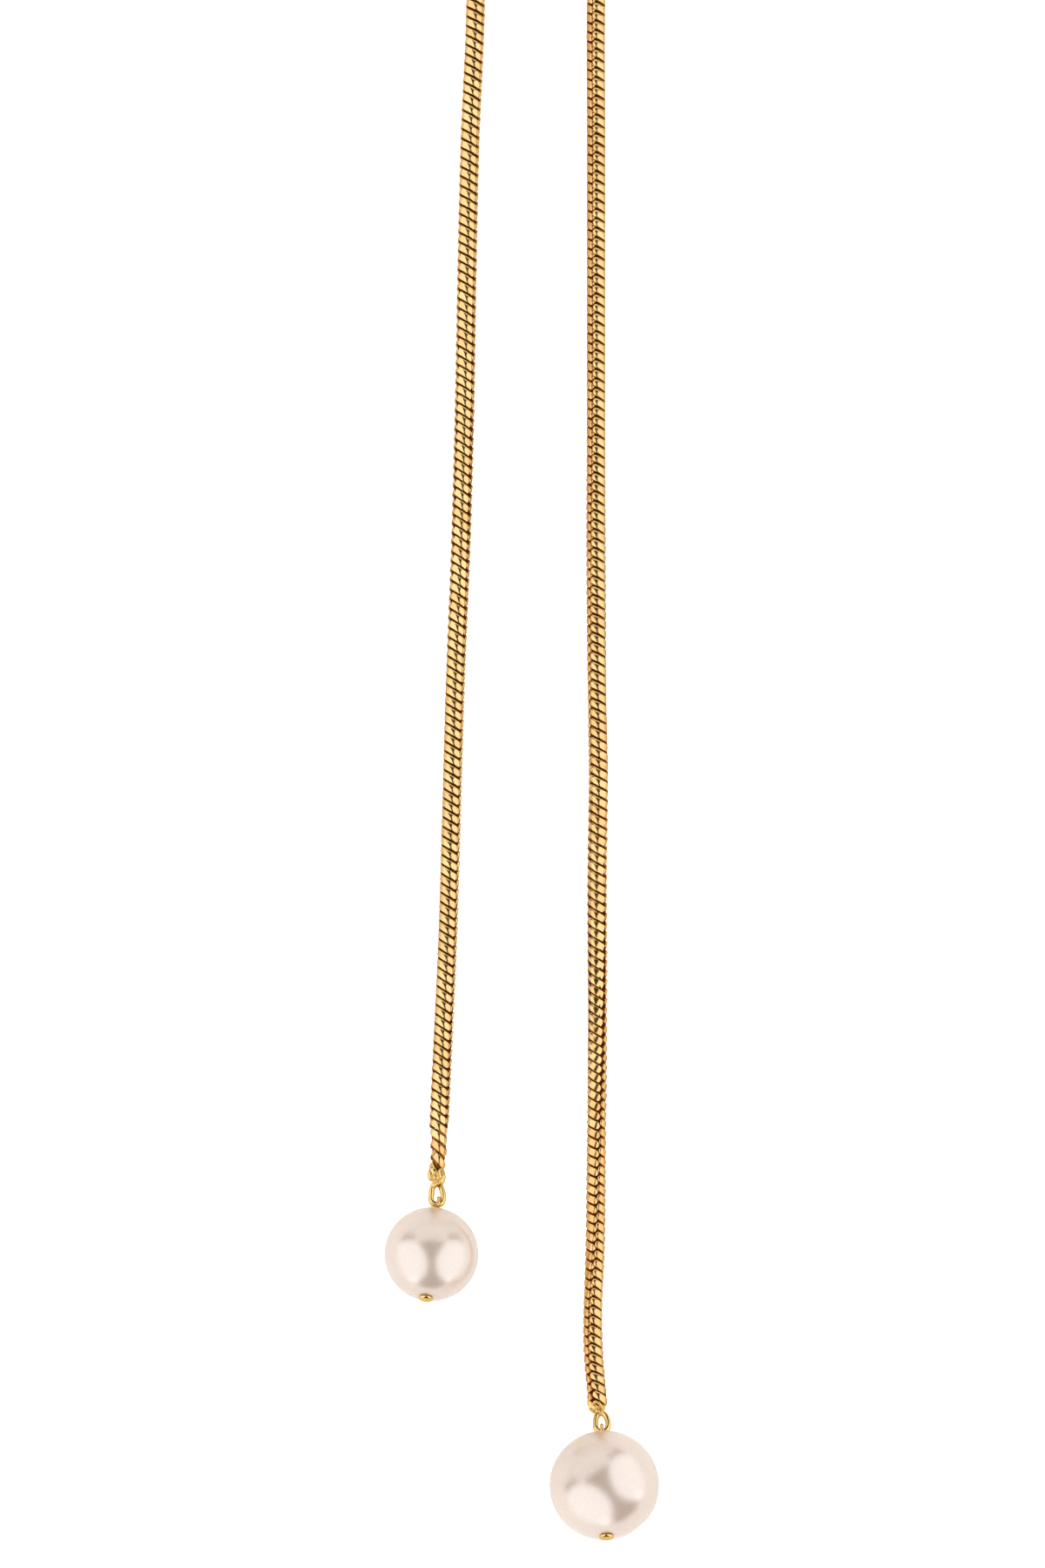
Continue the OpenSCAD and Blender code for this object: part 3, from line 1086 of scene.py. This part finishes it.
def make_ring(i, wire):
    """An oval ring of round wire, one leg straight and the other bowed, closed under the solder."""
    top = ring_top(i) + RING_RISE[i] * UP
    reach = eye_centre(i) - top
    axis = reach.normalized()
    shrink = reach.length / RING_REACH
    path = [(u * shrink, v, 0) for u, v in round_trip(RING_SHAPES[i], RING_STEP).tolist()]
    rings = tube_rings(path, RING_THICKNESS / 2, WIRE_SIDES, closed=True)
    points, faces = stack_rings(rings, closed=True)
    flat = Matrix.Rotation(-math.pi / 2, 4, "Y")
    points = placed(points, aimed(top, axis) @ flat)
    mesh = mesh_of(f"{DROPS[i]}_jump_ring_wire", points, faces)
    return add_piece(mesh.name, mesh, wire)


# Assembly

chain_finish = chain_gold()
wire_finish = wire_gold()
solder_finish = solder_gold()
pearl_finish = pearl_coat()

pieces = lay_chain(chain_finish)
for piece in pieces:
    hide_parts("snake_chain")
pieces.append(loose_links(chain_finish))
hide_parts("snake_chain")

for i, size in enumerate(DROPS):
    for piece, node in (
        (make_pearl(i, pearl_finish), "pearl"), (make_pin(i, wire_finish), "head_pin"),
        (make_ring(i, wire_finish), "jump_ring"), (make_solder(i, solder_finish), "end_cap"),
    ):
        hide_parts(f"{size}_{node}")
        "pearl_coat" if node == "pearl" else "gold_plate"
        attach(piece, "root")
for piece in pieces:
    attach(piece, "root")


# Floor, light and camera

FLOOR_SIZE = 6.0
bpy.ops.mesh.primitive_plane_add(size=FLOOR_SIZE, location=(0, 0, 0))
floor = bpy.context.object
floor.name = "floor"
floor.data.materials.append(floor_white())

ROOM_DIM = (0.075, 0.036, 0.010, 1)


def studio_world():
    """The dim, warm room that shows between the lamps."""
    world = bpy.data.worlds.new("studio")
    world.use_nodes = True
    world.node_tree.nodes["Background"].inputs["Color"].default_value = ROOM_DIM
    return world


bpy.context.scene.world = studio_world()

# The middle of the photograph's frame, on the floor
VIEW_MIDDLE = Vector((-1.7, -122, 0)) * MM
# In metres
LAMP_DISTANCE = 0.9
# Two round softboxes beside the necklace, two small panels low on the near side, and two wide ones
# beyond the neck loop, one low and one higher: name, shape, half angles as the necklace sees them,
# direction, radiance
LAMPS = [
    ("left_box", "DISK", (45, 45), (-0.8, -0.27, 0.5), 1.43),
    ("right_box", "DISK", (45, 45), (0.8, -0.27, 0.5), 1.43),
    ("near_left_panel", "RECTANGLE", (8, 9), (-0.5, -0.86, 0.10), 0.95),
    ("near_right_panel", "RECTANGLE", (8, 9), (0.5, -0.86, 0.10), 0.95),
    ("far_panel", "RECTANGLE", (52, 13), (0, 0.98, 0.20), 0.85),
    ("top_panel", "RECTANGLE", (40, 18.5), (0, 0.76, 0.65), 0.9),
]
# The softboxes are a touch cooler than the panels
BOX_TINT = (0.975, 0.99, 1.035)
# In the photograph the large pearl shows all of them turned by this many degrees
LARGE_PEARL_TURN = 36
# The jump rings lie flatter in the photograph, so their softboxes are tipped by this many degrees
RING_TIP = 65


def add_lamp(name, shape, half_angles, direction, radiance, state, pieces):
    """A soft lamp facing the necklace, which lights only some pieces or everything else."""
    lamp = bpy.data.lights.new(name, "AREA")
    lamp.shape = shape
    lamp.size, lamp.size_y = (2 * LAMP_DISTANCE * math.tan(math.radians(a)) for a in half_angles)
    area = lamp.size * lamp.size_y if shape == "RECTANGLE" else math.pi * lamp.size ** 2 / 4
    lamp.energy = radiance * math.pi * area
    if shape == "DISK":
        lamp.color = BOX_TINT
    lit = bpy.data.collections.new(name + "_lights")
    for k, piece in enumerate(pieces):
        lit.objects.link(piece)
        lit.collection_objects[k].light_linking.link_state = state
    box = bpy.data.objects.new(name, lamp)
    bpy.context.scene.collection.objects.link(box)
    away = Vector(direction).normalized()
    box.location = VIEW_MIDDLE + LAMP_DISTANCE * away
    box.rotation_euler = away.to_track_quat("Z", "Y").to_euler()
    box.visible_camera = False
    box.light_linking.receiver_collection = lit


large_pearl = [bpy.data.objects["large_pearl_drilled"]]
jump_rings = [bpy.data.objects[f"{size}_jump_ring_wire"] for size in DROPS]
for name, shape, half_angles, direction, radiance in LAMPS:
    turned = Matrix.Rotation(math.radians(LARGE_PEARL_TURN), 3, "Z") @ Vector(direction)
    tipped = Matrix.Rotation(math.radians(-RING_TIP), 3, "X") @ Vector(direction)
    add_lamp(name, shape, half_angles, direction, radiance, "EXCLUDE", large_pearl + jump_rings)
    add_lamp("pearl_" + name, shape, half_angles, turned, radiance, "INCLUDE", large_pearl)
    if shape == "DISK":
        add_lamp("ring_" + name, shape, half_angles, tipped, radiance, "INCLUDE", jump_rings)

# The camera's height above the chain's middle line and the length of its view there, in mm
CAMERA_HEIGHT = 3500
VIEW_LENGTH = 200
SENSOR = 36
camera = bpy.data.cameras.new("camera")
camera.sensor_width = SENSOR
camera.lens = SENSOR * CAMERA_HEIGHT / VIEW_LENGTH
view = bpy.data.objects.new("camera", camera)
bpy.context.scene.collection.objects.link(view)
view.location = VIEW_MIDDLE + UP * (CAMERA_HEIGHT + LIE) * MM
bpy.context.scene.camera = view

bpy.context.scene.view_settings.view_transform = "Standard"
